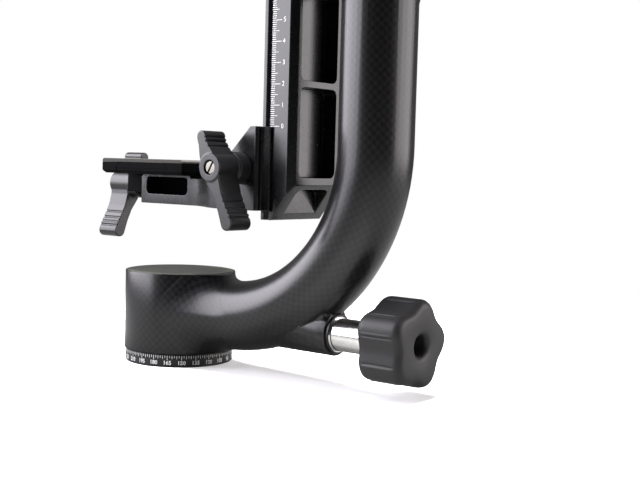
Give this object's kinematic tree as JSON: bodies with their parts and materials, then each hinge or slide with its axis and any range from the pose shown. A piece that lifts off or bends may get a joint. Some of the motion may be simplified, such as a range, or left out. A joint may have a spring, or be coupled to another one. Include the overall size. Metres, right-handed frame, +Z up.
{
  "type": "gimbal tripod head",
  "caption": "Gimbal tripod head with a bent tube arm, a tilting dovetail rail carrying a clamped L-shaped lens platform, and star and wing locking knobs.",
  "frame": {"origin": "centre of the base's underside, at the mouth of the tripod thread", "axes": "+Z up along the pan axis, +X from the pan axis towards the arm's upright, +Y away from the side with the rail clamp's lever"},
  "size_m": [0.2352, 0.0762, 0.2432],
  "materials": {
    "base_black": "black anodised, engraved scale",
    "steel": "turned",
    "bare_alloy": "machined",
    "bearing_steel": "polished",
    "carbon": "woven carbon fibre in satin lacquer",
    "cap_grey": "satin grey anodised",
    "black_anodised": "satin black anodised",
    "bronze": "turned bronze",
    "knob_rubber": "rubberised charcoal",
    "polished": "polished nickel",
    "lever_black": "satin black",
    "plate_grey": "satin dark grey anodised",
    "pad_rubber": "matt rubber"
  },
  "bodies": {
    "base": {"base_ring": "base_black", "thread_insert": "steel", "pan_spindle": "bare_alloy", "spindle_screws": "steel", "spindle_nut": "steel", "pan_inner_races": "bearing_steel"},
    "arm": {"carbon_arm": "carbon", "pan_housing": "bare_alloy", "hub_cap": "cap_grey", "pan_outer_races": "bearing_steel", "pan_bearing_balls": "bearing_steel", "lock_bush": "black_anodised", "tilt_housing": "bare_alloy", "tilt_cover": "cap_grey", "tilt_outer_races": "bearing_steel", "tilt_bearing_balls": "bearing_steel"},
    "pan_brake": {"pan_brake_shoe": "bronze", "pan_push_rod": "steel"},
    "pan_star": {"pan_knob": "knob_rubber", "pan_knob_shank": "polished"},
    "swing": {"swing_disc": "black_anodised", "tilt_axle": "bare_alloy", "tilt_inner_races": "bearing_steel", "tilt_spacer": "bare_alloy", "tilt_circlip": "steel", "swing_rail": "black_anodised", "rail_screws": "steel", "rail_stop_screws": "steel"},
    "tilt_brake": {"tilt_washer": "black_anodised"},
    "tilt_star": {"tilt_knob": "knob_rubber", "tilt_knob_shank": "polished"},
    "bracket": {"platform_bracket": "black_anodised", "jaw_pins": "steel", "lens_clamp_base": "black_anodised", "clamp_base_screws": "steel"},
    "far_jaw": {"rail_jaw": "black_anodised"},
    "rail_wing": {"rail_lever": "lever_black", "rail_clamp_screw": "polished"},
    "lens_jaw": {"lens_clamp_jaw": "black_anodised"},
    "lens_wing": {"lens_lever": "lever_black", "lens_clamp_screw": "polished"},
    "plate": {"lens_plate": "plate_grey", "plate_pad": "pad_rubber", "camera_screws": "steel", "plate_stop_screws": "steel"}
  },
  "joints": [
    {"name": "pan", "type": "hinge", "parent": "base", "child": "arm", "pos_m": [0, 0, 0.0278], "axis": [0, 0, 1], "continuous": true},
    {"name": "pan_lock_travel", "type": "slide", "parent": "arm", "child": "pan_brake", "axis": [1, 0, 0], "range_m": [0, 0.00225]},
    {"name": "pan_lock_turn", "type": "hinge", "parent": "pan_brake", "child": "pan_star", "pos_m": [0.12, 0, 0.0256], "axis": [1, 0, 0], "range_deg": [0, 540]},
    {"name": "tilt", "type": "hinge", "parent": "arm", "child": "swing", "pos_m": [0.127, 0, 0.214], "axis": [1, 0, 0], "continuous": true},
    {"name": "tilt_lock_travel", "type": "slide", "parent": "swing", "child": "tilt_brake", "axis": [1, 0, 0], "range_m": [0, 0.00225]},
    {"name": "tilt_lock_turn", "type": "hinge", "parent": "tilt_brake", "child": "tilt_star", "pos_m": [0.16, 0, 0.214], "axis": [1, 0, 0], "range_deg": [0, 540]},
    {"name": "bracket_height", "type": "slide", "parent": "swing", "child": "bracket", "axis": [0, 0, 1], "range_m": [0, 0.105]},
    {"name": "far_jaw_travel", "type": "slide", "parent": "bracket", "child": "far_jaw", "axis": [0, 1, 0], "range_m": [0, 0.0015]},
    {"name": "rail_wing_turn", "type": "hinge", "parent": "bracket", "child": "rail_wing", "pos_m": [0.0648, -0.03, 0.10375], "axis": [0, -1, 0], "range_deg": [0, 540]},
    {"name": "lens_jaw_travel", "type": "slide", "parent": "bracket", "child": "lens_jaw", "axis": [-1, 0, 0], "range_m": [0, 0.0015]},
    {"name": "lens_wing_turn", "type": "hinge", "parent": "lens_jaw", "child": "lens_wing", "pos_m": [-0.035, 0, 0.0932], "axis": [-1, 0, 0], "range_deg": [0, 540]},
    {"name": "plate_travel", "type": "slide", "parent": "bracket", "child": "plate", "axis": [0, 1, 0], "range_m": [-0.02, 0.02]}
  ],
  "couplings": [
    {"joint": "pan_lock_turn", "follows": "pan_lock_travel", "rad_per_m": 4188.8},
    {"joint": "tilt_lock_turn", "follows": "tilt_lock_travel", "rad_per_m": 4188.8},
    {"joint": "rail_wing_turn", "follows": "far_jaw_travel", "rad_per_m": 6283.2},
    {"joint": "lens_wing_turn", "follows": "lens_jaw_travel", "rad_per_m": 6283.2}
  ]
}
